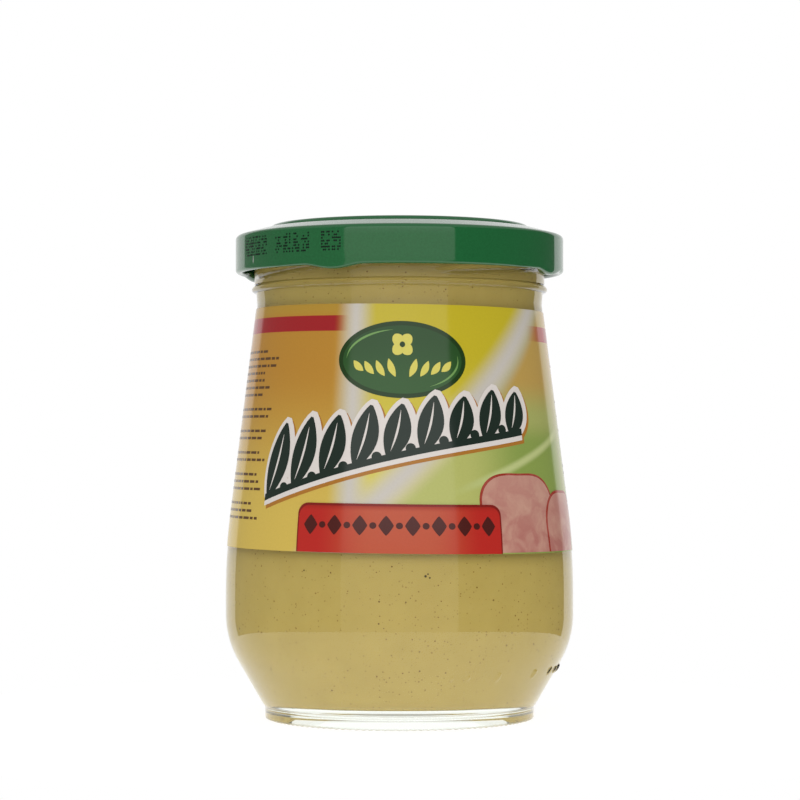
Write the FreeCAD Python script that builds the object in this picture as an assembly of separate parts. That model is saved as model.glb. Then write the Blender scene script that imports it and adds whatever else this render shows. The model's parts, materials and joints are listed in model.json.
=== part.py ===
import os
import FreeCAD, Part
import math

os.makedirs("parts", exist_ok=True)

V = FreeCAD.Vector

# ---------------------------------------------------------------------------
# Driving dimensions, mm. Z is up, Z = 0 is the plane the jar stands on, the
# jar axis is the Z axis and the middle of the label faces -Y.
# ---------------------------------------------------------------------------
TOTAL_H = 99.1           # floor to the top of the lid's centre panel

# glass, outside
BEAR_R_IN = 23.6         # bearing ring, inner and outer radius of its flat
BEAR_R_OUT = 26.3
HEEL_R = 27.1            # short upright band above the bearing ring
HEEL_FILLET = 0.4
HEEL_TOP = 2.5
TAPER_R = 27.6           # foot of the lower taper
TAPER_Z = 3.0
TAPER_DEG = 29.9         # lower taper, from the vertical
BELLY_R = 35.02
BELLY_FILLET = 19.0      # taper into belly
BELLY_Z0 = 21.0          # the belly is upright between these heights
BELLY_Z1 = 25.0
FLANK_ARC_R = 128.0      # long arc from the belly into the upper cone
CONE_DEG = 7.15          # upper cone, from the vertical
NECK_R = 28.75
NECK_BLEND_H = 0.9
RING_R = 29.85           # transfer ring under the finish
RING_Z = 86.1
RING_HALF_H = 0.75
FINISH_R = 29.3
RIM_Z = 97.67
RIM_FILLET = 0.8

# glass, inside
WALL = 2.4
FLOOR_Z = 4.7
FLOOR_FILLET = 4.0
BORE_R = 26.35           # straight bore through the neck
PUSH_UP = 0.9            # hollow under the base
PUSH_UP_R = 8.0

# screw finish: four interrupted threads
THREADS = 4
THREAD_R = 30.6
THREAD_START_DEG = -78.0  # from the front, to the right positive
THREAD_SPAN_DEG = 75.0
THREAD_Z0 = 88.1         # middle of the thread at its low end
THREAD_PITCH = 12.6      # rise per full turn
THREAD_HALF_H = 1.0
THREAD_STEPS = 12         # sections along one rib

# cavity marks: a row of small beads moulded on the lower taper
BEAD_R = 0.55
BEAD_Z = 10.2
BEAD_DEG = (18.0, 24.3, 36.5, 55.5, 68.5, 75.5, 82.0)

# contents
FILL_Z = 92.0

# lid
LID_R = 33.1
LID_BOTTOM = 89.3
LID_SHEET = 0.3
SHOULDER_DEG = 15.0      # fall of the shoulder from the panel to the skirt
SHOULDER_FILLET = 0.9
PANEL_FOOT_R = 27.8      # the centre panel rises between these two radii
PANEL_R = 26.2
PANEL_FILLET = 0.9
BUTTON_R = 9.0           # safety button, drawn down by the vacuum
BUTTON_EDGE = 2.0
BUTTON_SINK = 0.35
CURL_R = 0.7
LUGS = 4
LUG_DEG = -23.0          # middle of the first lug
LUG_SPAN_DEG = 20.0
LUG_R_IN = 30.35
LUG_BOTTOM = 88.45
LUG_TOP = 88.95

# label
LABEL_T = 0.1
LABEL_Z0 = 34.2
LABEL_Z1 = 81.8
LABEL_TILT_DEG = 0.75    # the right-hand side hangs lower
LABEL_GAP = 5.0          # the ends do not quite meet at the back


def line(a, b):
    """Straight edge between two (radius, height) pairs."""
    return Part.makeLine(V(a[0], 0, a[1]), V(b[0], 0, b[1]))


def arc(a, m, b):
    """Arc edge through three (radius, height) pairs."""
    return Part.Arc(V(a[0], 0, a[1]), V(m[0], 0, m[1]), V(b[0], 0, b[1])).toShape()


def on_circle(centre, radius, deg):
    """Point of a circle in the (radius, height) plane."""
    t = math.radians(deg)
    return (centre[0] + radius * math.cos(t), centre[1] + radius * math.sin(t))


def arc_about(centre, radius, deg0, deg1):
    """Arc edge about a centre from one angle to another."""
    return arc(on_circle(centre, radius, deg0),
               on_circle(centre, radius, 0.5 * (deg0 + deg1)),
               on_circle(centre, radius, deg1))


def end_of(edge):
    """(radius, height) of the later end of an edge made by line or arc."""
    p = edge.Vertexes[-1].Point
    return (p.x, p.z)


def start_of(edge):
    """(radius, height) of the earlier end of an edge made by line or arc."""
    p = edge.Vertexes[0].Point
    return (p.x, p.z)


def chain(parts):
    """Join edges and corner points, in order, with straight lines between."""
    edges = []
    here = None
    for part in parts:
        first = part if isinstance(part, tuple) else start_of(part)
        if here is not None and math.dist(here, first) > 1e-6:
            edges.append(line(here, first))
        if isinstance(part, tuple):
            here = part
        else:
            edges.append(part)
            here = end_of(part)
    return edges


def revolve(edges):
    """Closed (radius, height) outline turned about the Z axis."""
    face = Part.Face(Part.Wire(edges))
    return face.revolve(V(0, 0, 0), V(0, 0, 1), 360)


def body_flank(inset):
    """Arcs of the jar wall from the lower taper to the upper cone."""
    low = arc_about((BELLY_R - BELLY_FILLET, BELLY_Z0), BELLY_FILLET - inset, -TAPER_DEG, 0)
    high = arc_about((BELLY_R - FLANK_ARC_R, BELLY_Z1), FLANK_ARC_R - inset, 0, CONE_DEG)
    return [low, high]


def cone_radius(z, inset=0.0):
    """Radius of the upper cone at height z."""
    r0, z0 = end_of(body_flank(inset)[1])
    return r0 - (z - z0) * math.tan(math.radians(CONE_DEG))


def cone_height(r, inset=0.0):
    """Height at which the upper cone reaches radius r."""
    r0, z0 = end_of(body_flank(inset)[1])
    return z0 + (r0 - r) / math.tan(math.radians(CONE_DEG))


def outer_side():
    """Outside of the jar from the heel to the finish, bottom to top."""
    low, high = body_flank(0.0)
    neck_z = cone_height(NECK_R)
    ring = arc((NECK_R, RING_Z - RING_HALF_H), (RING_R, RING_Z), (FINISH_R, RING_Z + RING_HALF_H))
    rim_c = (FINISH_R - RIM_FILLET, RIM_Z - RIM_FILLET)
    heel_c = (HEEL_R - HEEL_FILLET, HEEL_FILLET)
    return [arc_about(heel_c, HEEL_FILLET, -90, 0),
            (HEEL_R, HEEL_TOP), (TAPER_R, TAPER_Z),
            low, high, (NECK_R, neck_z), ring,
            arc_about(rim_c, RIM_FILLET, 0, 90)]


def inner_side():
    """Inside of the jar from the middle of the floor to the rim."""
    low, high = body_flank(WALL)
    t = math.radians(TAPER_DEG)
    r_low, z_low = start_of(low)
    corner_z = FLOOR_Z + FLOOR_FILLET
    # centre of the corner arc: touches the floor and the inside of the taper
    reach = (z_low - corner_z) * math.tan(t) + FLOOR_FILLET / math.cos(t)
    corner = arc_about((r_low - reach, corner_z), FLOOR_FILLET, -90, -TAPER_DEG)
    bore_z = cone_height(BORE_R, WALL)
    return [(0.0, FLOOR_Z), corner, low, high, (BORE_R, bore_z)]


def thread_section(turn_deg, z, size):
    """Outline of a thread with a rounded crest, size 1 at full height, turned into place."""
    root = FINISH_R - 0.3
    h = THREAD_HALF_H * (0.5 + 0.5 * size)
    crest = FINISH_R + (THREAD_R - FINISH_R) * size
    neck = root + 0.6 * (crest - root)
    wire = Part.Wire([
        Part.makeLine(V(root, 0, z - h), V(root, 0, z + h)),
        Part.makeLine(V(root, 0, z + h), V(neck, 0, z + 0.7 * h)),
        Part.Arc(V(neck, 0, z + 0.7 * h), V(crest, 0, z), V(neck, 0, z - 0.7 * h)).toShape(),
        Part.makeLine(V(neck, 0, z - 0.7 * h), V(root, 0, z - h))])
    wire.rotate(V(0, 0, 0), V(0, 0, 1), turn_deg)
    return wire


def thread(index):
    """One rib of the screw finish: sections climbing round the jar, run out at both ends."""
    start = -90 + THREAD_START_DEG + index * 360.0 / THREADS
    sections = []
    for i in range(THREAD_STEPS + 1):
        part = i / THREAD_STEPS
        size = min(1.0, 0.15 + 4.0 * part, 0.15 + 4.0 * (1.0 - part))
        turn = THREAD_SPAN_DEG * part
        sections.append(thread_section(start + turn, THREAD_Z0 + THREAD_PITCH * turn / 360.0, size))
    return Part.makeLoft(sections, True, False)


def bead(deg):
    """One small mark raised on the lower taper."""
    r = TAPER_R + (BEAD_Z - TAPER_Z) * math.tan(math.radians(TAPER_DEG))
    t = math.radians(deg)
    return Part.makeSphere(BEAD_R, V(r * math.sin(t), -r * math.cos(t), BEAD_Z))


def make_glass():
    """Jar: outside minus inside, with ribs, beads and a hollow under the base."""
    hollow = arc((PUSH_UP_R, PUSH_UP), (0.5 * (PUSH_UP_R + BEAR_R_IN), 0.45 * PUSH_UP), (BEAR_R_IN, 0.0))
    outline = chain([(0.0, PUSH_UP), hollow, (BEAR_R_OUT, 0.0)] + outer_side() + [(0.0, RIM_Z)])
    outline.append(line((0.0, RIM_Z), (0.0, PUSH_UP)))
    solid = revolve(outline)
    for i in range(THREADS):
        solid = solid.fuse(thread(i))
    for deg in BEAD_DEG:
        solid = solid.fuse(bead(deg))
    return solid.cut(make_inside(RIM_Z + 1.0)).removeSplitter()


def make_inside(top):
    """The hollow of the jar up to a height."""
    outline = chain(inner_side() + [(BORE_R, top), (0.0, top)])
    outline.append(line((0.0, top), (0.0, FLOOR_Z)))
    return revolve(outline)


def make_lug(index):
    """One lug: a stretch of the curl pressed in under a thread."""
    outline = chain([(LUG_R_IN, LUG_BOTTOM), (LID_R - 0.35, LUG_BOTTOM),
                     (LID_R - 0.05, LUG_BOTTOM + 0.4), (LID_R - 0.05, LUG_TOP + 1.1),
                     (LID_R - LID_SHEET - 0.1, LUG_TOP + 1.1), (LID_R - 1.2, LUG_TOP),
                     (LUG_R_IN, LUG_TOP)])
    outline.append(line((LUG_R_IN, LUG_TOP), (LUG_R_IN, LUG_BOTTOM)))
    lug = Part.Face(Part.Wire(outline)).revolve(V(0, 0, 0), V(0, 0, 1), LUG_SPAN_DEG)
    turn = -90 + LUG_DEG - 0.5 * LUG_SPAN_DEG + index * 360.0 / LUGS
    lug.rotate(V(0, 0, 0), V(0, 0, 1), turn)
    return lug


def shoulder_height(r, lift):
    """Height of the shoulder's slope at a radius: it lies on the rounding of the glass rim,
    lifted off it by the sheet or by nothing."""
    t = math.radians(SHOULDER_DEG)
    away = (RIM_FILLET + lift) / math.cos(t)
    return RIM_Z - RIM_FILLET + away - (r - FINISH_R + RIM_FILLET) * math.tan(t)


def make_lid():
    """Pressed lid: panel with button, shoulder, skirt, curl and four lugs."""
    t = LID_SHEET
    curl_z = LID_BOTTOM + CURL_R
    shoulder_r = LID_R - SHOULDER_FILLET
    shoulder_c = (shoulder_r, shoulder_height(shoulder_r, t - SHOULDER_FILLET))
    button_z = TOTAL_H - BUTTON_SINK
    button_r = BUTTON_R + BUTTON_EDGE
    panel_c = (PANEL_R - PANEL_FILLET, TOTAL_H - PANEL_FILLET)
    foot_in = PANEL_FOOT_R - 0.1
    slope = 90 - SHOULDER_DEG
    outer = [(0.0, button_z), (BUTTON_R, button_z), (button_r, TOTAL_H),
             arc_about(panel_c, PANEL_FILLET, 90, 15),
             (PANEL_FOOT_R, shoulder_height(PANEL_FOOT_R, t)),
             arc_about(shoulder_c, SHOULDER_FILLET, slope, 0), (LID_R, curl_z)]
    inner = [(LID_R - t, curl_z), arc_about(shoulder_c, SHOULDER_FILLET - t, 0, slope),
             (foot_in, shoulder_height(foot_in, 0.0)), arc_about(panel_c, PANEL_FILLET - t, 15, 90),
             (button_r, TOTAL_H - t), (BUTTON_R, button_z - t), (0.0, button_z - t)]
    outline = chain(outer + inner)
    outline.append(line((0.0, button_z - t), (0.0, button_z)))
    lid = revolve(outline)
    curl = Part.makeTorus(LID_R - CURL_R, CURL_R, V(0, 0, curl_z))
    lid = lid.fuse(curl)
    for i in range(LUGS):
        lid = lid.fuse(make_lug(i))
    return lid.removeSplitter()


def make_label():
    """Paper wrap: a skin on the jar wall, its two edges cut on a slight slant."""
    margin = 2.0
    low, high = body_flank(0.0)
    z0 = LABEL_Z0 - margin
    z1 = LABEL_Z1 + margin
    skin = []
    for inset in (0.0, -LABEL_T):
        centre = (BELLY_R - FLANK_ARC_R, BELLY_Z1)
        radius = FLANK_ARC_R - inset
        start = math.degrees(math.asin((z0 - BELLY_Z1) / radius))
        bend = arc_about(centre, radius, start, CONE_DEG)
        skin.append((bend, (cone_radius(z1, inset), z1)))
    (bend_in, top_in), (bend_out, top_out) = skin
    edges = [bend_out, line(end_of(bend_out), top_out), line(top_out, top_in),
             line(top_in, end_of(bend_in)), bend_in,
             line(start_of(bend_in), start_of(bend_out))]
    sleeve = revolve(edges)
    size = 4 * BELLY_R
    height = LABEL_Z1 - LABEL_Z0
    slab = Part.makeBox(size, size, height, V(-size / 2, -size / 2, -height / 2))
    slab.rotate(V(0, 0, 0), V(0, 1, 0), LABEL_TILT_DEG)
    slab.translate(V(0, 0, 0.5 * (LABEL_Z0 + LABEL_Z1)))
    gap = Part.makeBox(LABEL_GAP, size, size, V(-LABEL_GAP / 2, 0, 0))
    return sleeve.common(slab).cut(gap)


def save(shape, node):
    """Write one node as a single closed solid."""
    solid = shape.Solids[0] if len(shape.Solids) == 1 else shape
    bb = solid.BoundBox
    print(node, "solids", len(shape.Solids), "valid", solid.isValid(),
          "cm3", round(solid.Volume / 1000, 2),
          "x", round(bb.XMin, 2), round(bb.XMax, 2), "y", round(bb.YMin, 2), round(bb.YMax, 2),
          "z", round(bb.ZMin, 2), round(bb.ZMax, 2))
    solid.exportStep("parts/" + node + ".step")


glass = make_glass()
mustard = make_inside(FILL_Z)
lid = make_lid()
label = make_label()

for a, b, names in ((glass, mustard, "glass-mustard"), (glass, lid, "glass-lid"),
                    (glass, label, "glass-label"), (lid, mustard, "lid-mustard"),
                    (lid, label, "lid-label")):
    print(names, "shared mm3", round(a.common(b).Volume, 4), "gap", round(a.distToShape(b)[0], 4))

save(glass, "glass_jar")
save(mustard, "mustard")
save(lid, "lid")
save(label, "label")
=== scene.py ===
import json
import bpy
import numpy as np
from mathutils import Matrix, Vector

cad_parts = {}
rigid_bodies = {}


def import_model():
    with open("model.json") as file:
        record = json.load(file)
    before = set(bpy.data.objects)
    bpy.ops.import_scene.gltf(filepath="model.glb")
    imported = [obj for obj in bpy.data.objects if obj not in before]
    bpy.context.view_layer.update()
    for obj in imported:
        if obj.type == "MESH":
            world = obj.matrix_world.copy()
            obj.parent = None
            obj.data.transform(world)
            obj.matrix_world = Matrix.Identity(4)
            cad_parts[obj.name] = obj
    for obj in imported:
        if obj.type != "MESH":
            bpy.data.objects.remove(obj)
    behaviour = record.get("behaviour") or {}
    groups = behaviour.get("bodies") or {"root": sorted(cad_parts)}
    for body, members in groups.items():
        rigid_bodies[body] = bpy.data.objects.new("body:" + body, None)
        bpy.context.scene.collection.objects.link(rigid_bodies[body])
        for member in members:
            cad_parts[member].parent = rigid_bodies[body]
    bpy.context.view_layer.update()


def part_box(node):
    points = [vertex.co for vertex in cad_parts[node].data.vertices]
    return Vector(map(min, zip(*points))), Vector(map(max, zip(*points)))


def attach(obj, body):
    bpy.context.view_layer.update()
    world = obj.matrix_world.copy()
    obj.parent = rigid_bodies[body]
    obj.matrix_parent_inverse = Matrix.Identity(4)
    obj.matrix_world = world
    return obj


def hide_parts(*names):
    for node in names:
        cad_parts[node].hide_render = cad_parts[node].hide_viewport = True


for leftover in list(bpy.data.objects):
    bpy.data.objects.remove(leftover)
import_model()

# ---------------------------------------------------------------------------
# Glass jar. Clear soda-lime glass, pressed and blown in a two-part mould: a
# small foot with a knurled bearing ring, a flaring taper, a full belly, a long
# cone up to the neck, a transfer ring and a finish with four broken threads.
# ---------------------------------------------------------------------------
MM = 0.001


def corners(node):
    """Lowest and highest corner of a CAD node in millimetres."""
    low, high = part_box(node)
    return np.array(low) / MM, np.array(high) / MM


BELLY_R, RIM_Z = corners("glass_jar")[1][[0, 2]]
FLOOR_Z, FILL_Z = corners("mustard")[0][2], corners("mustard")[1][2]
WALL = BELLY_R - corners("mustard")[1][0]

PUSH_UP, PUSH_UP_R = 0.9, 8.0          # hollow under the base
BEARING_R = (23.6, 26.3)
KNURLS, KNURL_DEPTH = 120, 0.22
KNURL_R, KNURL_HALF = 25.9, 1.9          # middle and half width of the ring of knurls
HEEL_R, HEEL_FILLET, HEEL_TOP = 27.1, 0.4, 2.5
TAPER_R, TAPER_Z, TAPER_DEG = 27.6, 3.0, 29.9
BELLY_FILLET, BELLY_Z0, BELLY_Z1 = 19.0, 21.0, 25.0
FLANK_ARC_R, CONE_DEG = 128.0, 7.15
NECK_R, BORE_R = 28.75, 26.35
RING_R, RING_Z, RING_HALF = 29.85, 86.1, 0.75
FINISH_R, RIM_FILLET = 29.3, 0.8
FLOOR_FILLET = 4.0

THREADS, THREAD_RISE, THREAD_HALF = 4, 1.3, 1.0
THREAD_START_DEG, THREAD_SPAN_DEG = -78.0, 75.0
THREAD_Z0, THREAD_PITCH = 88.1, 12.6
THREAD_ZONE = (87.05, 92.6)             # heights between which the finish is meshed finely

BEAD_Z, BEAD_H = 10.2, 0.5               # cavity marks on the lower taper
BEAD_HALF = (0.78, 1.0)
BEAD_DEG = (18.0, 24.3, 36.5, 55.5, 68.5, 75.5, 82.0)
BEAD_SIZE = (0.55, 0.62, 1.0, 1.0, 0.9, 0.8, 0.9)


def arc(centre, radius, start, stop, count):
    """Points (radius, height) on a circle about centre, from angle start to stop in degrees."""
    t = np.radians(np.linspace(start, stop, count))
    return np.column_stack([centre[0] + radius * np.cos(t), centre[1] + radius * np.sin(t)])


def run(a, b, step):
    """Points on the straight line from a to b, no further apart than step, without b itself."""
    count = max(int(np.ceil(np.hypot(b[0] - a[0], b[1] - a[1]) / step)), 1)
    return np.linspace(a, b, count, endpoint=False)


def flank(inset, count):
    """The wall's two arcs, taper into belly and belly into cone, moved inwards by inset."""
    low = arc((BELLY_R - BELLY_FILLET, BELLY_Z0), BELLY_FILLET - inset, -TAPER_DEG, 0, count)
    high = arc((BELLY_R - FLANK_ARC_R, BELLY_Z1), FLANK_ARC_R - inset, 0, CONE_DEG, count)
    return low, high


def cone_height(radius, inset):
    """Height at which the cone, moved inwards by inset, has come in to a radius."""
    r, z = flank(inset, 2)[1][-1]
    return z + (r - radius) / np.tan(np.radians(CONE_DEG))


def inside(inset, top):
    """Outline of the jar's hollow from the middle of its floor up to a height."""
    low, high = flank(inset, 9)
    lean = np.radians(TAPER_DEG)
    floor = FLOOR_Z + inset - WALL
    corner_z = floor + FLOOR_FILLET
    reach = (low[0, 1] - corner_z) * np.tan(lean) + FLOOR_FILLET / np.cos(lean)
    corner = arc((low[0, 0] - reach, corner_z), FLOOR_FILLET, -90, -TAPER_DEG, 8)
    bore = BORE_R + WALL - inset
    return np.vstack([[(0.0, floor)], run((3.0, floor), corner[0], 6.0), corner, low, high,
                      [(bore, cone_height(bore, inset))], [(bore, top)]])


def closed_mesh(name, points, faces):
    """Mesh object at the origin from points in millimetres and a list of faces, shaded smooth."""
    mesh = bpy.data.meshes.new(name)
    mesh.from_pydata((points * MM).tolist(), [], faces)
    mesh.polygons.foreach_set("use_smooth", np.ones(len(mesh.polygons), bool))
    mesh.set_sharp_from_angle(angle=np.radians(38.0))
    mesh.update()
    piece = bpy.data.objects.new(name, mesh)
    bpy.context.scene.collection.objects.link(piece)
    return piece


def turned(name, outline, phi, shift=None):
    """Closed surface of revolution about Z. A row is (radius, height) and a column an angle phi
    from the front, so a point is (r sin phi, -r cos phi, z); shift(phi, r, z) moves r and z.
    The first and last rows lie on the axis and become one pole each."""
    columns = len(phi)
    ring = outline[1:-1]
    r, z, p = np.broadcast_arrays(ring[:, :1], ring[:, 1:], phi[None, :])
    if shift is not None:
        dr, dz = shift(p, r, z)
        r, z = r + dr, z + dz
    grid = np.stack([r * np.sin(p), -r * np.cos(p), z], -1).reshape(-1, 3)
    poles = np.array([[0.0, 0.0, outline[0, 1]], [0.0, 0.0, outline[-1, 1]]])
    here = np.arange(columns)
    beside = (here + 1) % columns
    row = columns * np.arange(len(ring) - 1)[:, None]
    quads = np.stack([row + here, row + beside, row + columns + beside, row + columns + here], -1)
    first, last = len(grid), len(grid) + 1
    end = columns * (len(ring) - 1)
    bottom = np.column_stack([np.full(columns, first), beside, here])
    top = np.column_stack([end + here, end + beside, np.full(columns, last)])
    faces = quads.reshape(-1, 4).tolist() + bottom.tolist() + top.tolist()
    return closed_mesh(name, np.vstack([grid, poles]), faces)


def ridge(x):
    """Smooth hump, 1 at x = 0 and level with the ground from |x| = 1 on."""
    return np.clip(1.0 - x * x, 0.0, 1.0) ** 2


def turn_from(phi, degrees):
    """Signed angle in degrees from a direction to phi, between -180 and 180."""
    return (np.degrees(phi) - degrees + 180.0) % 360.0 - 180.0


def glass_relief(phi, r, z):
    """Knurling cut up into the bearing ring, beads on the taper and threads on the finish: each is
    a hump in angle and height, added to the plain surface of revolution on its outside."""
    dr, dz = np.zeros_like(z), np.zeros_like(z)
    bearing = ridge((r - KNURL_R) / KNURL_HALF) * (z < 1.0)
    dz += bearing * KNURL_DEPTH * (0.5 - 0.5 * np.cos(KNURLS * phi))
    for degrees, size in zip(BEAD_DEG, BEAD_SIZE):
        across = np.radians(turn_from(phi, degrees)) * r / (BEAD_HALF[0] * size)
        up = (z - BEAD_Z) / (BEAD_HALF[1] * size)
        outside = r > TAPER_R + (z - TAPER_Z) * np.tan(np.radians(TAPER_DEG)) - 0.5 * WALL
        dr += BEAD_H * size * ridge(np.hypot(across, up)) ** 0.35 * outside
    outer = r > NECK_R - 0.75
    for k in range(THREADS):
        along = (turn_from(phi, THREAD_START_DEG + 360.0 * k / THREADS) + 20.0) % 360.0 - 20.0
        part = along / THREAD_SPAN_DEG
        full = np.clip(np.minimum(part, 1.0 - part) * 6.0, 0.0, 1.0)
        full = full * full * (3.0 - 2.0 * full)
        middle = THREAD_Z0 + THREAD_PITCH * along / 360.0
        dr += THREAD_RISE * full * ridge((z - middle) / (THREAD_HALF * (0.5 + 0.5 * full))) * outer
    return dr, dz


def jar_outline():
    """The jar from the middle of its underside, up the outside, over the rim and down the inside."""
    low, high = flank(0.0, 11)
    out = np.linspace(0.0, 1.0, 9)
    hollow = np.column_stack([PUSH_UP_R + (BEARING_R[0] - PUSH_UP_R) * out,
                              PUSH_UP * (1.0 - 0.8 * out - 0.2 * out * out)])
    bearing = np.column_stack([np.linspace(24.2, BEARING_R[1], 6), np.zeros(6)])
    heel = arc((HEEL_R - HEEL_FILLET, HEEL_FILLET), HEEL_FILLET, -75, 0, 6)
    lean = np.tan(np.radians(TAPER_DEG))
    bead_z = BEAD_Z + 1.1 * np.linspace(-1.0, 1.0, 18)
    beads = np.column_stack([TAPER_R + (bead_z - TAPER_Z) * lean, bead_z])
    neck_z = cone_height(NECK_R, 0.0)
    ring = arc((NECK_R, RING_Z), 1.0, -80, 80, 12)
    ring[:, 0] = NECK_R + (RING_R - NECK_R) * (ring[:, 0] - NECK_R)
    ring[:, 1] = RING_Z + RING_HALF * (ring[:, 1] - RING_Z)
    thread_z = np.arange(*THREAD_ZONE, 0.21)
    finish = np.column_stack([np.full(len(thread_z), FINISH_R), thread_z])
    rim = arc((FINISH_R - RIM_FILLET, RIM_Z - RIM_FILLET), RIM_FILLET, 0, 90, 5)
    lip = arc((BORE_R + RIM_FILLET, RIM_Z - RIM_FILLET), RIM_FILLET, 90, 180, 5)
    return np.vstack([
        [(0.0, PUSH_UP)], [(4.0, PUSH_UP)], hollow, bearing, heel,
        run((HEEL_R, 1.3), (HEEL_R, HEEL_TOP), 0.6), [(HEEL_R + 0.08, HEEL_TOP)],
        [(TAPER_R - 0.06, TAPER_Z - 0.08)],
        run((TAPER_R, TAPER_Z), beads[0], 1.3), beads, low, high[:-1],
        run(high[-1], (NECK_R, neck_z), 4.0), [(NECK_R, neck_z)], ring, finish,
        rim, lip, inside(WALL, RIM_Z - RIM_FILLET)[::-1][1:]])


bead_deg = np.concatenate([d + np.linspace(-1.5, 1.5, 13) for d in BEAD_DEG])
bead_columns = np.radians(bead_deg) % (2 * np.pi)
knurl_columns = np.linspace(0.0, 2 * np.pi, 4 * KNURLS, endpoint=False)
jar = turned("glass_jar_body", jar_outline(), np.union1d(knurl_columns, bead_columns), glass_relief)


def colour(code):
    """sRGB hex code as a linear colour with alpha 1."""
    value = np.array([int(code[i:i + 2], 16) for i in (1, 3, 5)]) / 255.0
    linear = np.where(value <= 0.04045, value / 12.92, ((value + 0.055) / 1.055) ** 2.4)
    return (*linear.tolist(), 1.0)


def add(tree, kind, inputs=None, **settings):
    """Adds one node: settings are its properties; inputs maps a socket to a value or to the
    output that feeds it."""
    node = tree.nodes.new(kind)
    for key, value in settings.items():
        setattr(node, key, value)
    for key, value in (inputs or {}).items():
        if isinstance(value, bpy.types.NodeSocket):
            tree.links.new(value, node.inputs[key])
        else:
            node.inputs[key].default_value = value
    return node


def new_material(name):
    """Empty node material, its tree and its output node."""
    material = bpy.data.materials.new(name)
    material.use_nodes = True
    tree = material.node_tree
    tree.nodes.clear()
    return material, tree, tree.nodes.new("ShaderNodeOutputMaterial")


# Soda-lime glass straight from the mould: clear, with a very faint ripple that softens the edges
# of what it reflects. Lamps reach what is behind it, as they do through thin real glass.
RIPPLE_MM = 7.0
GLASS_IOR = 1.52
jar_glass, tree, out = new_material("soda_lime_glass")
place = add(tree, "ShaderNodeTexCoord")
ripple = add(tree, "ShaderNodeTexNoise", {"Vector": place.outputs["Object"], "Scale": 1.0 / (RIPPLE_MM * MM),
                                          "Detail": 1.0})
ripple_bump = add(tree, "ShaderNodeBump", {"Height": ripple.outputs["Fac"], "Strength": 0.25,
                                           "Distance": 0.02 * MM})
clear = add(tree, "ShaderNodeBsdfPrincipled", {
    "Base Color": colour("#f7fbf4"), "Roughness": 0.0, "IOR": GLASS_IOR, "Transmission Weight": 1.0,
    "Normal": ripple_bump.outputs["Normal"]})
let_light_in = add(tree, "ShaderNodeBsdfTransparent", {"Color": colour("#fafcf8")})
path = add(tree, "ShaderNodeLightPath")
straight = add(tree, "ShaderNodeMath", {0: path.outputs["Is Shadow Ray"], 1: path.outputs["Is Diffuse Ray"]},
               operation="MAXIMUM")
both = add(tree, "ShaderNodeMixShader", {0: straight.outputs[0], 1: clear.outputs[0],
                                         2: let_light_in.outputs[0]})
tree.links.new(both.outputs[0], out.inputs["Surface"])

jar.data.materials.append(jar_glass)
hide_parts("glass_jar")
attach(jar, "root")

# ---------------------------------------------------------------------------
# Mustard. A smooth, moist paste of ground seed, filled hot up to a level that
# the lid hides. It wets the glass all over, so it reaches just into the wall.
# ---------------------------------------------------------------------------
WETTING = 0.15

fill = inside(WALL - WETTING, FILL_Z)
fill_top = run(fill[-1] + (0.0, 0.0), (6.0, FILL_Z), 5.0)[1:]
paste = turned("mustard_fill", np.vstack([fill, fill_top, [(0.0, FILL_Z)]]),
               np.linspace(0.0, 2 * np.pi, 240, endpoint=False))

# Ground mustard: a warm ochre yellow, a little mottled, with flecks of brown husk a few tenths of a
# millimetre across; light goes a short way into it, so its edges look soft. Its water bends light
# less than the glass does, so where it is seen through glass at a very flat angle, as it is from
# below through the foot, the boundary mirrors the bright table instead of showing mustard.
PASTE_IOR = 1.42
MOTTLE_MM = 5.0
FLECKS = ((0.6, 0.3, 0.65, "#7d5a2a"), (1.25, 0.17, 0.9, "#6b4e28"))  # cell, radius, share, colour
# husks seen from the front: angle, height and radius of each
HUSKS = ((8.5, 29.9, 0.3), (9.3, 30.3, 0.2), (9.9, 29.6, 0.22), (16.0, 26.6, 0.15), (17.3, 26.2, 0.14),
         (-33.0, 30.8, 0.2), (-41.0, 22.6, 0.2), (28.0, 24.4, 0.17), (-12.0, 15.5, 0.16))
mustard_paste, tree, out = new_material("ground_mustard_paste")
place = add(tree, "ShaderNodeTexCoord").outputs["Object"]
mottle = add(tree, "ShaderNodeTexNoise", {"Vector": place, "Scale": 1.0 / (MOTTLE_MM * MM), "Detail": 5.0,
                                          "Roughness": 0.6})
body = add(tree, "ShaderNodeMix", {"Factor": mottle.outputs["Fac"], "A": colour("#af9752"),
                                   "B": colour("#bba35c")}, data_type="RGBA")
tone = body.outputs["Result"]
for cell_mm, size, share, code in FLECKS:
    cells = add(tree, "ShaderNodeTexVoronoi", {"Vector": place, "Scale": 1.0 / (cell_mm * MM)})
    luck = add(tree, "ShaderNodeSeparateColor", {0: cells.outputs["Color"]})
    limit = add(tree, "ShaderNodeMapRange", {"Value": luck.outputs[0], "From Min": 1.0 - share,
                                             "From Max": 1.0, "To Min": 0.0, "To Max": size})
    near = add(tree, "ShaderNodeMath", {0: limit.outputs[0], 1: cells.outputs["Distance"]},
               operation="SUBTRACT")
    mask = add(tree, "ShaderNodeMapRange", {"Value": near.outputs[0], "From Min": 0.0, "From Max": 0.04})
    strength = add(tree, "ShaderNodeMath", {0: mask.outputs[0], 1: luck.outputs[1]}, operation="MULTIPLY")
    mixed = add(tree, "ShaderNodeMix", {"Factor": strength.outputs[0], "A": tone, "B": colour(code)},
                data_type="RGBA")
    tone = mixed.outputs["Result"]
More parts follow.
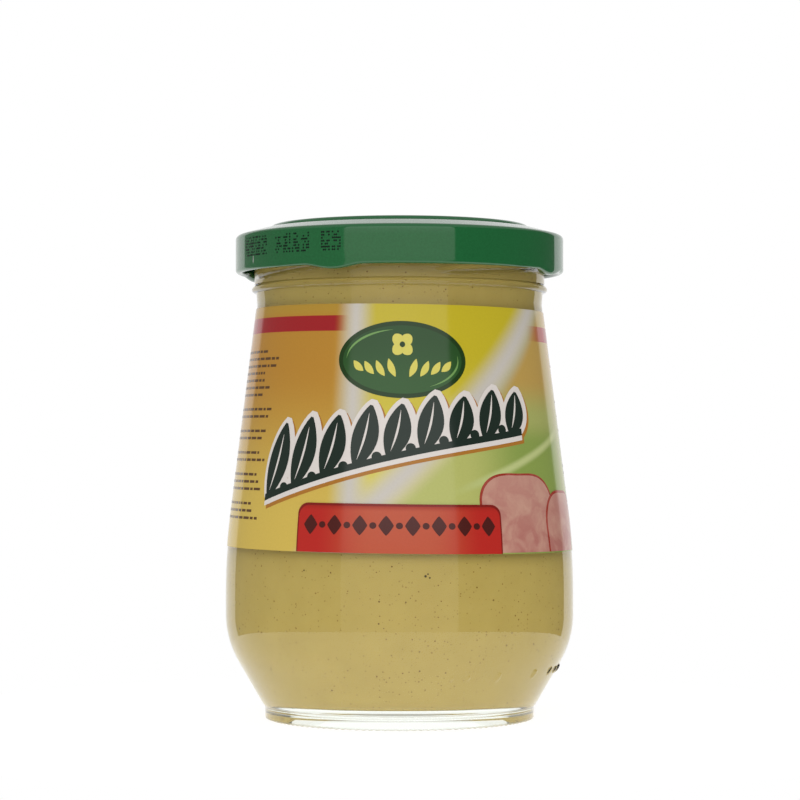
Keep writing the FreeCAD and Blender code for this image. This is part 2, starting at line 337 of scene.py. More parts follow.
for degrees, height, size in HUSKS:
    turn = np.radians(degrees)
    spot = (BELLY_R - WALL) * MM * np.array([np.sin(turn), -np.cos(turn), 0.0]) + (0.0, 0.0, height * MM)
    away = add(tree, "ShaderNodeVectorMath", {0: place, 1: spot.tolist()}, operation="DISTANCE")
    mask = add(tree, "ShaderNodeMapRange", {"Value": away.outputs["Value"], "From Min": size * MM,
                                            "From Max": 0.6 * size * MM})
    mixed = add(tree, "ShaderNodeMix", {"Factor": mask.outputs[0], "A": tone, "B": colour("#33250f")},
                data_type="RGBA")
    tone = mixed.outputs["Result"]
paste_skin = add(tree, "ShaderNodeBsdfPrincipled", {
    "Base Color": tone, "Roughness": 0.5, "Specular IOR Level": 0.1, "Subsurface Weight": 0.15,
    "Subsurface Radius": (1.6 * MM, 1.0 * MM, 0.4 * MM), "Subsurface Scale": 1.0})
mirror = add(tree, "ShaderNodeBsdfPrincipled", {"Base Color": colour("#ffffff"), "Metallic": 1.0,
                                                "Roughness": 0.02})
flat_look = add(tree, "ShaderNodeFresnel", {"IOR": PASTE_IOR / GLASS_IOR})
both = add(tree, "ShaderNodeMixShader", {0: flat_look.outputs[0], 1: paste_skin.outputs[0],
                                         2: mirror.outputs[0]})
tree.links.new(both.outputs[0], out.inputs["Surface"])

paste.data.materials.append(mustard_paste)
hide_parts("mustard")
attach(paste, "root")

# ---------------------------------------------------------------------------
# Lid. A 63 mm twist-off cap pressed from thin tinplate and lacquered green: a
# flat panel with a drawn-down safety button, a rolled shoulder, a plain skirt
# and an inward curl that is pressed in at four lugs to catch the threads.
# ---------------------------------------------------------------------------
lid_low, lid_high = corners("lid")
LID_R, LID_TOP = lid_high[0], lid_high[2]
LUG_DIP = 0.85
LID_BOTTOM = lid_low[2] + LUG_DIP
SHEET = 0.3
SHOULDER_DEG, SHOULDER_FILLET = 15.0, 0.9
PANEL_R, PANEL_FOOT_R, PANEL_FILLET = 26.2, 27.8, 0.9
BUTTON_R, BUTTON_SINK, BUTTON_EDGE_R = 9.0, 0.35, 6.0
BUTTON_IN, BUTTON_OUT = 1.5, 1.2         # the button's slope starts and ends this far from its radius
CURL_R = 0.78
LUGS, LUG_DEG, LUG_HALF_DEG, LUG_REACH = 4, -23.0, 11.0, 1.3


def shoulder(radius, lift):
    """Height of the shoulder's slope at a radius: it lies on the rounding of the glass rim,
    lifted off it."""
    lean = np.radians(SHOULDER_DEG)
    away = (RIM_FILLET + lift) / np.cos(lean)
    return RIM_Z - RIM_FILLET + away - (radius - FINISH_R + RIM_FILLET) * np.tan(lean)


def lid_outline():
    """The lid from the middle of its underside, round the inside, the curl and the outside."""
    curl_c = (LID_R - CURL_R, LID_BOTTOM + CURL_R)
    shoulder_r = LID_R - SHOULDER_FILLET
    shoulder_c = (shoulder_r, shoulder(shoulder_r, SHEET - SHOULDER_FILLET))
    panel_c = (PANEL_R - PANEL_FILLET, LID_TOP - PANEL_FILLET)
    foot, slope = PANEL_FOOT_R, 90.0 - SHOULDER_DEG
    button_z = LID_TOP - BUTTON_SINK
    return np.vstack([
        [(0.0, button_z - SHEET), (BUTTON_R - BUTTON_IN, button_z - SHEET)],
        [(BUTTON_R + 1.0, LID_TOP - SHEET)],
        arc(panel_c, PANEL_FILLET - SHEET, 90, 15, 4), [(foot - 0.1, shoulder(foot - 0.1, 0.0))],
        arc(shoulder_c, SHOULDER_FILLET - SHEET, slope, 0, 5),
        run((LID_R - SHEET, shoulder_c[1] - 0.6), (LID_R - SHEET, curl_c[1] + 1.0), 1.2),
        arc(curl_c, CURL_R, 125, 360, 22),
        run((LID_R, curl_c[1] + 0.4), (LID_R, shoulder_c[1] - 0.3), 1.0),
        arc(shoulder_c, SHOULDER_FILLET, 0, slope, 8),
        run((shoulder_r - 0.4, shoulder(shoulder_r - 0.4, SHEET)),
            (foot + 0.5, shoulder(foot + 0.5, SHEET)), 1.5),
        [(foot + 0.35, shoulder(foot + 0.35, SHEET)), (foot - 0.2, shoulder(foot, SHEET) + 0.04)],
        arc(panel_c, PANEL_FILLET, 15, 90, 7),
        run((PANEL_R - PANEL_FILLET - 0.6, LID_TOP), (BUTTON_R + 2.0, LID_TOP), 4.0),
        arc((BUTTON_R + BUTTON_OUT, LID_TOP - BUTTON_EDGE_R), BUTTON_EDGE_R, 90, 106, 4),
        [(BUTTON_R - BUTTON_IN, button_z + 0.02)], [(4.0, button_z)], [(0.0, button_z)]])


def lug_press(phi, r, z):
    """At each lug the curl is bent down and its inner half is pushed in towards the glass."""
    dr, dz = np.zeros_like(z), np.zeros_like(z)
    curl = np.clip((LID_BOTTOM + 2.0 * CURL_R + 0.3 - z) / (2.0 * CURL_R), 0.0, 1.0)
    inner = np.clip((LID_R - 0.5 - r) / 0.8, 0.0, 1.0)
    for k in range(LUGS):
        hump = ridge(turn_from(phi, LUG_DEG + 360.0 * k / LUGS) / LUG_HALF_DEG)
        dz -= LUG_DIP * hump * curl
        dr -= (0.12 * (1.0 - inner) + LUG_REACH * inner) * hump * curl
    return dr, dz


cap = turned("lid_cap", lid_outline(), np.linspace(0.0, 2 * np.pi, 288, endpoint=False), lug_press)

# Stoved enamel over tinplate: a deep leaf green with a hard gloss and the fine orange peel of a
# rolled-on coat, which breaks up reflections into a slight sparkle.
PEEL_MM = 0.35
lid_enamel, tree, out = new_material("stoved_green_enamel")
place = add(tree, "ShaderNodeTexCoord").outputs["Object"]
peel = add(tree, "ShaderNodeTexNoise", {"Vector": place, "Scale": 1.0 / (PEEL_MM * MM), "Detail": 3.0})
grain = add(tree, "ShaderNodeMix", {"Factor": peel.outputs["Fac"], "A": colour("#0d5228"),
                                    "B": colour("#196535")}, data_type="RGBA")
peel_bump = add(tree, "ShaderNodeBump", {"Height": peel.outputs["Fac"], "Strength": 0.3,
                                         "Distance": 0.01 * MM})
enamel = add(tree, "ShaderNodeBsdfPrincipled", {
    "Base Color": grain.outputs["Result"], "Roughness": 0.5, "Specular IOR Level": 0.05,
    "Coat Weight": 0.9, "Coat Roughness": 0.05, "Coat IOR": 1.68, "Normal": peel_bump.outputs["Normal"]})
tree.links.new(enamel.outputs[0], out.inputs["Surface"])

cap.data.materials.append(lid_enamel)
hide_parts("lid")
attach(cap, "root")

# ---------------------------------------------------------------------------
# Ink-jet mark on the skirt. Fine dots of dark ink sprayed in seven rows as the
# jar passes; here they make no characters. Beside it the enamel has a nick.
# ---------------------------------------------------------------------------
INK_ROWS, INK_COLUMNS = 7, 72
INK_DEG, INK_Z, INK_H = (-66.0, -19.4), 93.8, 3.4
INK_DOT_R, INK_PROUD, INK_SUNK = 0.19, 0.03, -0.02
INK_SHARE = 0.56                        # of the places in the block get a dot


def plates(name, grids):
    """Thin closed plates joined in one mesh. A grid is a pair of arrays (rows, columns, 3) in
    millimetres, face and back; each is skinned front, back and round its edge."""
    points, faces, start = [], [], 0
    for face, back in grids:
        m, n = face.shape[:2]
        index = start + np.arange(m * n).reshape(m, n)
        under = index + m * n
        front = np.stack([index[:-1, :-1], index[:-1, 1:], index[1:, 1:], index[1:, :-1]], -1).reshape(-1, 4)
        rear = np.stack([under[:-1, :-1], under[1:, :-1], under[1:, 1:], under[:-1, 1:]], -1).reshape(-1, 4)
        rim = np.concatenate([index[0, :-1], index[:-1, -1], index[-1, :0:-1], index[:0:-1, 0]])
        beyond = np.roll(rim, -1)
        side = np.stack([rim, rim + m * n, beyond + m * n, beyond], -1)
        points += [face.reshape(-1, 3), back.reshape(-1, 3)]
        faces += front.tolist() + rear.tolist() + side.tolist()
        start += 2 * m * n
    return closed_mesh(name, np.vstack(points), faces)


def on_skirt(u, v, lift):
    """Point of the lid's skirt at u degrees from the front and height v, lifted off it."""
    p = np.radians(u)
    r = LID_R + lift
    return np.stack([r * np.sin(p), -r * np.cos(p), v + 0.0 * p], -1)


rng = np.random.default_rng(63)
ink_u = np.linspace(*INK_DEG, INK_COLUMNS)
ink_v = INK_Z + INK_H * np.linspace(-0.5, 0.5, INK_ROWS)
gaps = (np.arange(INK_COLUMNS) % 6 == 5) | (np.isin(np.arange(INK_COLUMNS) // 6, (4, 9)))
sprayed = (rng.random((INK_ROWS, INK_COLUMNS)) < INK_SHARE) & ~gaps
dots = []
side, half = np.meshgrid(np.linspace(-1.0, 1.0, 3), np.linspace(-1.0, 1.0, 3))
round_off = np.where(np.abs(side) + np.abs(half) > 1.5, 0.72, 1.0)
for i, j in np.argwhere(sprayed):
    u = ink_u[j] + np.degrees(INK_DOT_R / LID_R) * side * round_off
    v = ink_v[i] + INK_DOT_R * half * round_off
    dots.append((on_skirt(u, v, INK_PROUD), on_skirt(u, v, INK_SUNK)))
code_ink = plates("lid_ink_dots", dots)

# Solvent ink on enamel: nearly black, with a slight green cast from the coat under it.
jet_ink, tree, out = new_material("solvent_ink")
ink_place = add(tree, "ShaderNodeTexCoord").outputs["Object"]
fade = add(tree, "ShaderNodeTexNoise", {"Vector": ink_place, "Scale": 1.0 / (0.8 * MM)})
ink_tone = add(tree, "ShaderNodeMix", {"Factor": fade.outputs["Fac"], "A": colour("#06120b"),
                                       "B": colour("#0f2a1c")}, data_type="RGBA")
ink_skin = add(tree, "ShaderNodeBsdfPrincipled", {"Base Color": ink_tone.outputs["Result"], "Roughness": 0.45,
                                                "Specular IOR Level": 0.2})
tree.links.new(ink_skin.outputs[0], out.inputs["Surface"])
code_ink.data.materials.append(jet_ink)
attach(code_ink, "root")

# Bare tinplate shows, bright and grey, where the enamel is chipped low on the skirt.
NICK_DEG, NICK_Z, NICK_HALF = -60.0, 91.2, (0.16, 0.75)
nick_u = NICK_DEG + np.degrees(NICK_HALF[0] / LID_R) * side * round_off
nick_v = NICK_Z + NICK_HALF[1] * half * round_off
nick = plates("lid_nick", [(on_skirt(nick_u, nick_v, INK_PROUD), on_skirt(nick_u, nick_v, INK_SUNK))])
tinplate, tree, out = new_material("bare_tinplate")
scratch = add(tree, "ShaderNodeTexNoise", {"Vector": add(tree, "ShaderNodeTexCoord").outputs["Object"],
                                           "Scale": 1.0 / (0.2 * MM)})
sheen = add(tree, "ShaderNodeMapRange", {"Value": scratch.outputs["Fac"], "To Min": 0.3, "To Max": 0.5})
bare = add(tree, "ShaderNodeBsdfPrincipled", {"Base Color": colour("#c9ccc6"), "Metallic": 0.6,
                                              "Roughness": sheen.outputs[0]})
tree.links.new(bare.outputs[0], out.inputs["Surface"])
nick.data.materials.append(tinplate)
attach(nick, "root")

# ---------------------------------------------------------------------------
# Label. One strip of coated paper, cut to a curve to suit the cone, wet-glued
# round the jar a touch out of level. Its ends stop short of each other behind.
# ---------------------------------------------------------------------------
PAPER, OFF_GLASS = 0.1, 0.02             # thickness of the paper, and the gap behind it
LABEL_Z0, LABEL_H, LABEL_TILT_DEG = 34.2, 47.6, 0.75
LABEL_GAP, GAP_R = 5.0, 33.0            # between the ends, and the jar's radius where it is measured
MIDDLE_R = 31.9                         # the jar's radius at half the label's height
MM_PER_DEG = 0.557                      # along the label at half its height


def wall_radius(z):
    """Outer radius of the jar at a height on the belly or the cone."""
    bend = BELLY_R - FLANK_ARC_R + np.sqrt(FLANK_ARC_R ** 2 - np.clip(z - BELLY_Z1, 0.0, 30.0) ** 2)
    r, top = flank(0.0, 2)[1][-1]
    return np.where(z < top, bend, r - (z - top) * np.tan(np.radians(CONE_DEG)))


def on_label(u, v, lift):
    """Point on the label: u millimetres round from its middle at half height, v above its lower
    edge, lifted off the glass; the whole strip hangs lower on the right by the tilt."""
    p = np.radians(u / MM_PER_DEG)
    z = LABEL_Z0 + v
    for _ in range(3):
        z = LABEL_Z0 + v - np.tan(np.radians(LABEL_TILT_DEG)) * wall_radius(z) * np.sin(p)
    r = wall_radius(z) + lift
    return np.stack([r * np.sin(p), -r * np.cos(p), z], -1)


def print_layout(piece, grids):
    """UV map with the label's own layout in it: u and v in decimetres, from the middle of the
    label's lower edge. grids holds the (u, v) arrays that the piece's plates were made from."""
    place = np.concatenate([np.tile(np.stack([u, v], -1).reshape(-1, 2), (2, 1)) for u, v in grids])
    mesh = piece.data
    corner = np.empty(len(mesh.loops), int)
    mesh.loops.foreach_get("vertex_index", corner)
    layer = mesh.uv_layers.new(name="layout")
    layer.data.foreach_set("uv", (0.01 * place[corner]).ravel())


half_round = 180.0 * MM_PER_DEG - 0.5 * LABEL_GAP * MIDDLE_R / GAP_R
wrap_u, wrap_v = np.meshgrid(np.linspace(-half_round, half_round, 241), np.linspace(0.0, LABEL_H, 49))
wrap = plates("label_paper", [(on_label(wrap_u, wrap_v, PAPER + OFF_GLASS),
                               on_label(wrap_u, wrap_v, OFF_GLASS))])
print_layout(wrap, [(wrap_u, wrap_v)])


def lay(tree, where, under, over, edges):
    """One colour laid over another within soft edges. An edge is a direction and two places: the
    cover goes from 0 to 1 as the point's reach along the direction goes from the first place to
    the second. Several edges multiply."""
    cover = 1.0
    for direction, start, stop in edges:
        reach = add(tree, "ShaderNodeVectorMath", {0: where, 1: direction}, operation="DOT_PRODUCT")
        rise = add(tree, "ShaderNodeMapRange", {"Value": reach.outputs["Value"], "From Min": start,
                                                "From Max": stop}, interpolation_type="SMOOTHSTEP")
        cover = add(tree, "ShaderNodeMath", {0: cover, 1: rise.outputs[0]}, operation="MULTIPLY").outputs[0]
    mixed = add(tree, "ShaderNodeMix", {"Factor": cover, "A": under, "B": over}, data_type="RGBA")
    return mixed.outputs["Result"]


SCREEN_MM = 0.45
ALONG, UPWARDS = (100.0, 0.0, 0.0), (0.0, 100.0, 0.0)        # the layout's u and v, in mm


def offset_print(name, ground, fields=(), screen=0.1, marbling=None):
    """Ink under a thin gloss varnish: fields of colour, each a code and its edges, laid in turn
    on the ground colour, then broken up by the printing screen and, if asked, streaked."""
    material, tree, out = new_material(name)
    layout = add(tree, "ShaderNodeUVMap", uv_map="layout").outputs[0]
    tone = colour(ground)
    for code, edges in fields:
        tone = lay(tree, layout, tone, colour(code), edges)
    if marbling is not None:
        streaks = add(tree, "ShaderNodeTexNoise", {"Vector": layout, "Scale": 28.0, "Detail": 4.0,
                                                   "Distortion": 0.8})
        vein = add(tree, "ShaderNodeMapRange", {"Value": streaks.outputs["Fac"], "From Min": 0.4,
                                                "From Max": 0.9})
        mixed = add(tree, "ShaderNodeMix", {"Factor": vein.outputs[0], "A": tone, "B": colour(marbling)},
                    data_type="RGBA")
        tone = mixed.outputs["Result"]
    dots = add(tree, "ShaderNodeTexNoise", {"Vector": layout, "Scale": 100.0 / SCREEN_MM, "Detail": 2.0})
    share = add(tree, "ShaderNodeMath", {0: dots.outputs["Fac"], 1: screen}, operation="MULTIPLY")
    mixed = add(tree, "ShaderNodeMix", {"Factor": share.outputs[0], "A": tone, "B": colour("#3a2a14")},
                data_type="RGBA")
    varnish = add(tree, "ShaderNodeBsdfPrincipled", {
        "Base Color": mixed.outputs["Result"], "Roughness": 0.6, "Specular IOR Level": 0.0,
        "Coat Weight": 0.85, "Coat Roughness": 0.12, "Coat IOR": 1.5})
    tree.links.new(varnish.outputs[0], out.inputs["Surface"])
    return material


# Offset print on coated paper: soft beams of white across fields of yellow, ochre and green.
BEAM_U = -9.2                                                  # middle of the upright beam
SLANT = (70.0, -71.0, 0.0)                                     # across the slanting beam
SLANT_0 = 0.70 * -4.5 - 0.71 * 10.0
PLATE_RIM = (-38.0, 100.0, 0.0)                                # up to the rim of the green field
PLATE_0 = 21.5 - 0.38 * 36.0
right_of_beam = (SLANT, SLANT_0 + 0.5, SLANT_0 + 5.0)
left_side = (ALONG, -8.0, -14.5)
label_paper = offset_print("coated_paper_offset_print", "#d0c34c", (
    ("#bfae26", [(UPWARDS, 12.0, 40.0)]),
    ("#cdb153", [left_side]),
    ("#b48230", [left_side, (UPWARDS, 6.0, 36.0)]),
    ("#b08a33", [left_side, (UPWARDS, LABEL_H - 2.8, LABEL_H - 1.0)]),
    ("#b0b467", [right_of_beam]),
    ("#879b4c", [right_of_beam, (ALONG, 12.0, 26.0)]),
    ("#a3a861", [right_of_beam, (UPWARDS, 21.0, 26.0)]),
    ("#b8974f", [right_of_beam, (UPWARDS, 26.0, 34.0)]),
    ("#b9c282", [right_of_beam, (PLATE_RIM, PLATE_0 - 1.3, PLATE_0 - 0.1),
                 (PLATE_RIM, PLATE_0 + 1.3, PLATE_0 + 0.1), (ALONG, 8.0, 20.0)]),
    ("#a9ad6c", [(ALONG, 36.0, 44.0)]),
    ("#c6a66c", [(ALONG, 36.0, 44.0), (UPWARDS, 20.0, 40.0)]),
    ("#c3bdb5", [(ALONG, BEAM_U - 4.6, BEAM_U + 0.3), (ALONG, BEAM_U + 4.6, BEAM_U - 0.3)]),
    ("#c3bdb5", [(SLANT, SLANT_0 - 4.6, SLANT_0 + 0.4), (SLANT, SLANT_0 + 5.2, SLANT_0 + 0.2)]),
    ("#9c2025", [(UPWARDS, 42.3, 42.45), (UPWARDS, 45.45, 45.3), (ALONG, -10.4, -14.2)]),
    ("#a83038", [(UPWARDS, 41.3, 41.45), (UPWARDS, 44.45, 44.3), (ALONG, 31.0, 41.0)])))

wrap.data.materials.append(label_paper)
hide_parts("label")
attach(wrap, "root")

# ---------------------------------------------------------------------------
# Printed motifs. Flat spot colours laid over the fields: an oval green badge
# with a mustard flower, a rising spray of leaves, a red panel with a seed
# border, two pink slices and rows of fine dashes. None of it is lettering.
# ---------------------------------------------------------------------------
INK_LAYER = 0.025                       # each colour lies this much above the one before


def strip(low, high, u, rows):
    """Grid between two curves: column i runs from low[i] to high[i] at u[i]."""
    t = np.linspace(0.0, 1.0, rows)[:, None]
    return np.broadcast_to(u, (rows, len(u))), low + (high - low) * t


def oval(centre, half, flat=2.0, columns=41, rows=9):
    """Filled oval |x/a|^n + |y/b|^n <= 1 as a strip of columns crowded towards its two ends."""
    x = np.sin(np.linspace(-0.5, 0.5, columns) * np.pi) * 0.9995
    reach = half[1] * (1.0 - np.abs(x) ** flat) ** (1.0 / flat)
    u, v = strip(-reach, reach, half[0] * x, rows)
    return centre[0] + u, centre[1] + v


def leaf(foot, length, width, lean_deg, bow=0.0, fullness=0.9, rows=15, columns=5):
    """Pointed leaf: it stands on foot, leans by lean_deg from upright, its half width goes as a
    power of sin(pi s) along its length, and its midrib bows sideways."""
    s = np.linspace(0.0, 1.0, rows)[:, None]
    t = np.linspace(-1.0, 1.0, columns)[None, :]
    across = t * (0.5 * width * np.sin(np.pi * (0.02 + 0.96 * s)) ** fullness) + bow * np.sin(np.pi * s)
    along = length * (s + 0.0 * t)
    lean = np.radians(lean_deg)
    return (foot[0] + along * np.sin(lean) + across * np.cos(lean),
            foot[1] + along * np.cos(lean) - across * np.sin(lean))


def printed(name, shapes, layer, material):
    """One printing of a spot colour: (u, v) grids laid on the label as a thin film of ink."""
    top = PAPER + OFF_GLASS + INK_LAYER * layer
    piece = plates(name, [(on_label(u, v, top), on_label(u, v, top - 1.4 * INK_LAYER)) for u, v in shapes])
    print_layout(piece, shapes)
    piece.data.materials.append(material)
    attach(piece, "root")
    return piece


# oval badge, darker round its edge, with a small yellow flower over a pair of twigs
BADGE = (0.6, 36.9)
BADGE_HALF = (13.1, 7.4)
FLOWER = (BADGE[0], BADGE[1] + 2.9)
deep_green = offset_print("deep_green_ink", "#1d3a17")
badge_green = offset_print("badge_green_ink", "#2e572a", (("#244a23", [(UPWARDS, 31.0, 42.0)]),))
gleam_green = offset_print("gleam_green_ink", "#6f9a55")
pale_yellow = offset_print("pale_yellow_ink", "#d3c95c")
printed("badge_edge", [oval(BADGE, BADGE_HALF)], 1, deep_green)
printed("badge_field", [oval(BADGE, (BADGE_HALF[0] - 0.9, BADGE_HALF[1] - 0.85))], 2, badge_green)
flower = [leaf(FLOWER, 2.5, 2.3, 45.0 + 90.0 * k, fullness=0.55) for k in range(4)]
twigs = [leaf((BADGE[0] + way * (1.4 + 2.15 * k), BADGE[1] - 3.3 + 0.12 * k * k), 3.7 - 0.3 * k, 1.35,
              way * (22.0 + 8.0 * k), bow=0.15 * way) for k in range(4) for way in (-1, 1)]
printed("badge_flower", flower + twigs, 3, pale_yellow)
eye = oval(FLOWER, (0.55, 0.55), columns=13, rows=5)
printed("badge_flower_eye", [eye], 4, deep_green)


def crescent(centre, half, start, stop, width):
    """Thin sickle along an oval, from one angle to another, pointed at both ends."""
    t = np.radians(np.linspace(start, stop, 33))
    swell = width * np.sin(np.pi * np.linspace(0.02, 0.98, 33))
    ring = np.array([-0.5, 0.0, 0.5])[:, None] * swell
    return centre[0] + (half[0] + ring) * np.cos(t), centre[1] + (half[1] + ring) * np.sin(t)


inner_half = (BADGE_HALF[0] - 1.7, BADGE_HALF[1] - 1.6)
printed("badge_gleams", [crescent(BADGE, inner_half, 178.0, 100.0, 0.45),
                         crescent(BADGE, inner_half, 8.0, -62.0, 0.4)], 3, gleam_green)

# rising spray of leaves, in dark green with a white edge and an ochre shade to the lower right
SPRAY_FROM, SPRAY_TO, SPRAY_LEAVES = (-27.4, 10.0), (23.4, 22.6), 9
SHADE, EDGE = (0.55, -0.6), 0.95        # the shade's offset and the white edge's width
LEAF_W, LEAF_LEAN_DEG, STEM_HALF, BERRY_R = 5.0, 14.0, 0.65, 0.95
leaf_green = offset_print("leaf_green_ink", "#1c2b25")
edge_white = offset_print("edge_white_ink", "#d6cfca", screen=0.04)
shade_ochre = offset_print("shade_ochre_ink", "#a8702c")
share = np.linspace(0.0, 1.0, SPRAY_LEAVES)
foot_u = SPRAY_FROM[0] + (SPRAY_TO[0] - SPRAY_FROM[0]) * share
foot_v = SPRAY_FROM[1] + (SPRAY_TO[1] - SPRAY_FROM[1]) * (share + 0.12 * np.sin(np.pi * share))
tall = 15.0 - 6.2 * share ** 0.6 + 0.8 * (np.arange(SPRAY_LEAVES) % 2)
stem_u = np.linspace(SPRAY_FROM[0] - 0.8, SPRAY_TO[0] + 3.0, 61)
stem_share = (stem_u - SPRAY_FROM[0]) / (SPRAY_TO[0] - SPRAY_FROM[0])
stem_rise = stem_share + 0.12 * np.sin(np.pi * stem_share)
stem_v = SPRAY_FROM[1] + (SPRAY_TO[1] - SPRAY_FROM[1]) * stem_rise + 0.4


def spray(grow, offset=(0.0, 0.0)):
    """The whole spray, every outline moved out by grow: leaves, berries between them and stem."""
    shapes = []
    for u, v, length in zip(foot_u, foot_v, tall):
        shapes.append(leaf((u + offset[0], v + offset[1] - grow), length + 2.2 * grow, LEAF_W + 2.0 * grow,
                           LEAF_LEAN_DEG, bow=0.35, fullness=0.8 - 0.15 * (grow > 0)))
    for u, v in zip(foot_u[:-1] + 4.1, foot_v[:-1] + 2.2):
        shapes.append(oval((u + offset[0], v + offset[1]), (BERRY_R + grow, BERRY_R + grow),
                           columns=17, rows=7))
    half = STEM_HALF + grow
    shapes.append(strip(stem_v + offset[1] - half, stem_v + offset[1] + half, stem_u + offset[0], 5))
    return shapes


printed("spray_shade", spray(EDGE, SHADE), 1, shade_ochre)
printed("spray_edge", spray(EDGE), 2, edge_white)
printed("spray_leaves", spray(0.0), 3, leaf_green)
veins = [leaf((u + 0.35, v + 1.6), 0.74 * length, 0.42, LEAF_LEAN_DEG, bow=0.3)
         for u, v, length in zip(foot_u, foot_v, tall)]
printed("spray_veins", veins, 4, edge_white)

# red panel with round upper corners along the lower edge, and a border of seeds and lozenges in it
PANEL_HALF, PANEL_H, PANEL_CORNER, PANEL_FOOT = 19.2, 9.4, 2.0, 0.05
BORDER_V = 5.3
x = PANEL_HALF * np.sin(np.linspace(-0.5, 0.5, 61) * np.pi)
past = np.clip((np.abs(x) - PANEL_HALF + PANEL_CORNER) / PANEL_CORNER, 0.0, 0.9999)
top_line = PANEL_H - PANEL_CORNER * (1.0 - np.sqrt(1.0 - past ** 2))
panel_red = offset_print("panel_red_ink", "#b85035", (
    ("#b32620", [(ALONG, 5.0, 15.5)]), ("#b32620", [(ALONG, -5.0, -15.5)]),
    ("#992019", [(UPWARDS, PANEL_H - 1.6, PANEL_H)])))
panel_dark = offset_print("panel_edge_ink", "#7d1a17")
maroon = offset_print("maroon_ink", "#4a1a18")
printed("panel_edge", [strip(PANEL_FOOT + 0.0 * x, top_line, x, 9)], 5, panel_dark)
printed("panel_field", [strip(PANEL_FOOT + 0.0 * x, top_line - 0.45, x * 0.985, 9)], 6, panel_red)
seed_u = np.linspace(-16.4, 16.4, 15)
border = [oval((u, BORDER_V), (1.35, 1.9), flat=1.15, columns=13, rows=5) if k % 2 == 0 else
          oval((u, BORDER_V), (0.62, 0.62), columns=13, rows=5) for k, u in enumerate(seed_u)]
printed("panel_border", border, 7, maroon)

# two slices on the right, rosy with a red rim, the first one partly behind the panel
slice_pink = offset_print("slice_pink_ink", "#ad6f66", (("#b98578", [(UPWARDS, 0.0, 15.0)]),),
                          marbling="#c9a08c")
slice_rim = offset_print("slice_rim_ink", "#963327", marbling="#b4635a")


def slice_shape(centre, half, lean, waver, inset):
    """Rounded slice: a full oval that leans to one side and tapers downwards, its outline a little
    uneven by waver; what would hang under the label is cut off level."""
    u, v = oval((0.0, 0.0), (half[0] - inset, half[1] - inset), flat=2.7, columns=45, rows=13)
    turn = np.arctan2(v, u)
    swell = 1.0 + waver * (np.sin(3.0 * turn + centre[0]) + 0.6 * np.sin(7.0 * turn))
    u, v = u * swell, v * swell
    u = u * (1.0 + 0.02 * v) + lean * v
    return centre[0] + u, np.maximum(centre[1] + v, 0.25)


back_slice = ((25.2, 6.2), (9.3, 9.4), -0.1, 0.014)
front_slice = ((38.6, 3.9), (7.2, 8.3), 0.12, 0.014)
printed("slice_back_rim", [slice_shape(*back_slice, 0.0)], 1, slice_rim)
printed("slice_back", [slice_shape(*back_slice, 0.4)], 2, slice_pink)
printed("slice_front_rim", [slice_shape(*front_slice, 0.0)], 3, slice_rim)
printed("slice_front", [slice_shape(*front_slice, 0.5)], 4, slice_pink)

# small print, as rows of short dashes in blocks, on both sides of the front
DASH_H, DASH_PITCH, DASH_GAP = 0.5, 1.42, 0.45
DASH_MIN, DASH_SPREAD, RAGGED = 0.7, 1.9, 5.0
small_brown = offset_print("small_print_ink", "#5b3f22")


def dash_block(left, right, top, rows, ragged_left, gap_rows=()):
    """Rows of dashes of seeded lengths between two edges; one edge is left ragged."""
    shapes = []
    for k in range(rows):
        if k in gap_rows:
            continue
        short = rng.random() * RAGGED
        u = left + (short if ragged_left else 0.0)
        stop = right - (0.0 if ragged_left else short)
        v = top - DASH_PITCH * k
        while u < stop - 0.6:
            long = min(DASH_MIN + DASH_SPREAD * rng.random(), stop - u)
            shapes.append(strip(np.full(3, v), np.full(3, v + DASH_H), np.linspace(u, u + long, 3), 2))
            u += long + DASH_GAP
    return shapes


printed("small_print", dash_block(-56.0, -28.2, 38.4, 24, False, (7, 10, 13, 16, 20)), 1, small_brown)
printed("small_print_right", dash_block(46.5, 66.0, 38.0, 22, True, (5, 11, 17)), 1, small_brown)

# ---------------------------------------------------------------------------
# Studio. The jar stands on a small lit white table before a white backdrop,
# with one tall soft panel in front, brighter above, and dimmer walls either
# side, which glass and lacquer mirror dark. None of it is part of the object.
# ---------------------------------------------------------------------------
EYE = (0.0001, -0.5257, 0.05385)
TABLE_R, TABLE_Y = 0.106, -0.012
SHADE_SHARE, TABLE_GLOW = 0.2, 1.12     # the table's part that takes shadows, and what makes up for it
WHITE = (1.0, 1.0, 1.0, 1.0)
SIDE_LIGHT = (0.88, 0.88, 0.88, 1.0)
LEFT_MIRRORED, RIGHT_MIRRORED = (0.22, 0.22, 0.215, 1.0), (0.08, 0.08, 0.077, 1.0)
FRONT_LIGHT, FRONT_UPPER = (0.66, 0.64, 0.59, 1.0), (1.2, 1.2, 1.2, 1.0)
OVERHEAD = (0.5, 0.5, 0.5, 1.0)
FRONT_DEG, REAR_DEG = 39.0, 42.0        # half widths of the soft panel and of the backdrop
LAMP_AT, LAMP_AIM = (-0.06, -0.85, 0.4), (0.0, 0.0, 0.05)
LAMP_SIZE, LAMP_WATTS = 0.5, 2.3

scene = bpy.context.scene
scene.view_settings.view_transform = "Standard"
camera = bpy.data.objects.new("camera", bpy.data.cameras.new("camera"))
camera.data.lens = 117.0
camera.data.sensor_width = 36.0
camera.location = EYE
camera.rotation_euler = (np.radians(90.0 + 1.10), 0.0, 0.0)
scene.collection.objects.link(camera)
scene.camera = camera

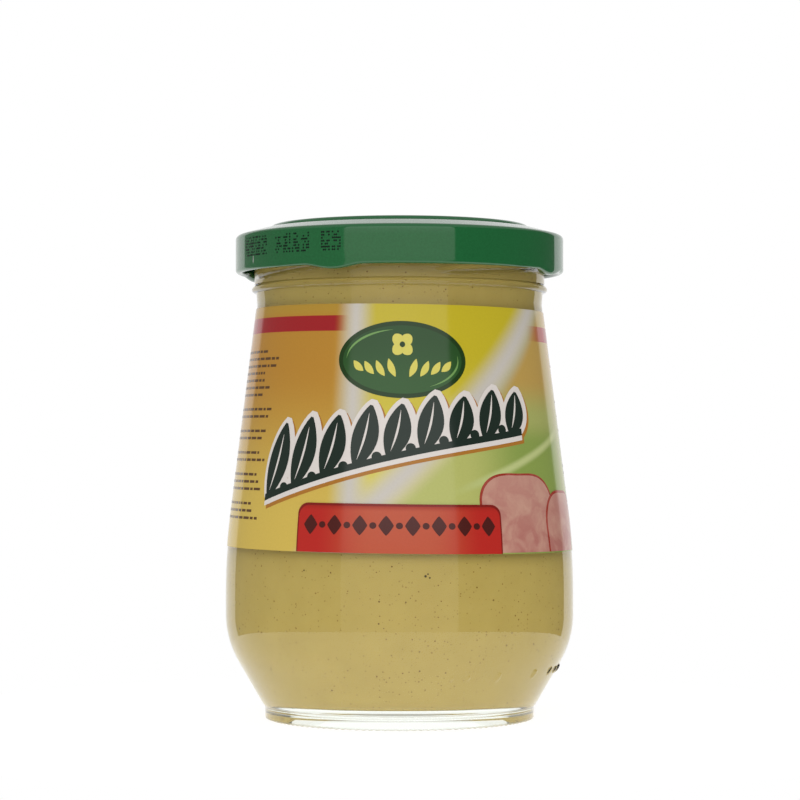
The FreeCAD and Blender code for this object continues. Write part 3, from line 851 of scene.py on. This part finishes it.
around = np.linspace(0.0, 2.0 * np.pi, 96, endpoint=False)
rim_points = np.column_stack([TABLE_R * np.cos(around), TABLE_Y + TABLE_R * np.sin(around), 0.0 * around])
floor_mesh = bpy.data.meshes.new("floor")
floor_mesh.from_pydata(rim_points.tolist(), [], [list(range(len(around)))])
floor = bpy.data.objects.new("floor", floor_mesh)
scene.collection.objects.link(floor)
white_table, tree, out = new_material("white_table")
path = add(tree, "ShaderNodeLightPath")
shine = add(tree, "ShaderNodeEmission", {"Color": WHITE, "Strength": TABLE_GLOW})
paint = add(tree, "ShaderNodeBsdfDiffuse", {"Color": colour("#f8f8f8")})
shade = add(tree, "ShaderNodeMath", {0: path.outputs["Is Camera Ray"], 1: SHADE_SHARE}, operation="MULTIPLY")
table = add(tree, "ShaderNodeMixShader", {0: shade.outputs[0], 1: shine.outputs[0], 2: paint.outputs[0]})
tree.links.new(table.outputs[0], out.inputs["Surface"])
floor_mesh.materials.append(white_table)


def wedge(degrees, facing):
    """The two edges of a sector of the horizon: degrees to either side of the front (-1) or of
    the back (1)."""
    turn = np.radians(degrees)
    return [((side * np.cos(turn), -facing * np.sin(turn), 0.0), 0.0, -0.02) for side in (-1.0, 1.0)]


room = bpy.data.worlds.new("studio")
scene.world = room
room.use_nodes = True
tree = room.node_tree
tree.nodes.clear()
way = add(tree, "ShaderNodeTexCoord").outputs["Generated"]
path = add(tree, "ShaderNodeLightPath")
UP = (0.0, 0.0, 1.0)
mirrored = lay(tree, way, LEFT_MIRRORED, RIGHT_MIRRORED, [((1.0, 0.0, 0.0), -0.25, 0.25)])
sides = add(tree, "ShaderNodeMix", {"Factor": path.outputs["Is Glossy Ray"], "A": SIDE_LIGHT, "B": mirrored},
            data_type="RGBA")
glow = lay(tree, way, sides.outputs["Result"], FRONT_LIGHT, wedge(FRONT_DEG, -1.0))
glow = lay(tree, way, glow, FRONT_UPPER, wedge(FRONT_DEG, -1.0) + [(UP, 0.02, 0.32)])
glow = lay(tree, way, glow, WHITE, wedge(REAR_DEG, 1.0))
glow = lay(tree, way, glow, OVERHEAD, [(UP, 0.45, 0.65)])
plain = add(tree, "ShaderNodeMix", {"Factor": path.outputs["Is Camera Ray"], "A": glow, "B": WHITE},
            data_type="RGBA")
sky = add(tree, "ShaderNodeBackground", {"Color": plain.outputs["Result"], "Strength": 1.0})
tree.links.new(sky.outputs[0], add(tree, "ShaderNodeOutputWorld").inputs["Surface"])

fill_lamp = bpy.data.lights.new("fill_lamp", "AREA")
fill_lamp.size = LAMP_SIZE
fill_lamp.energy = LAMP_WATTS
holder = bpy.data.objects.new("fill_lamp", fill_lamp)
holder.location = LAMP_AT
aim = np.array(LAMP_AIM) - np.array(LAMP_AT)
holder.rotation_euler = (np.arctan2(np.hypot(aim[0], aim[1]), -aim[2]), 0.0,
                         np.arctan2(aim[1], aim[0]) - np.pi / 2)
holder.visible_glossy = False
holder.visible_camera = False
scene.collection.objects.link(holder)
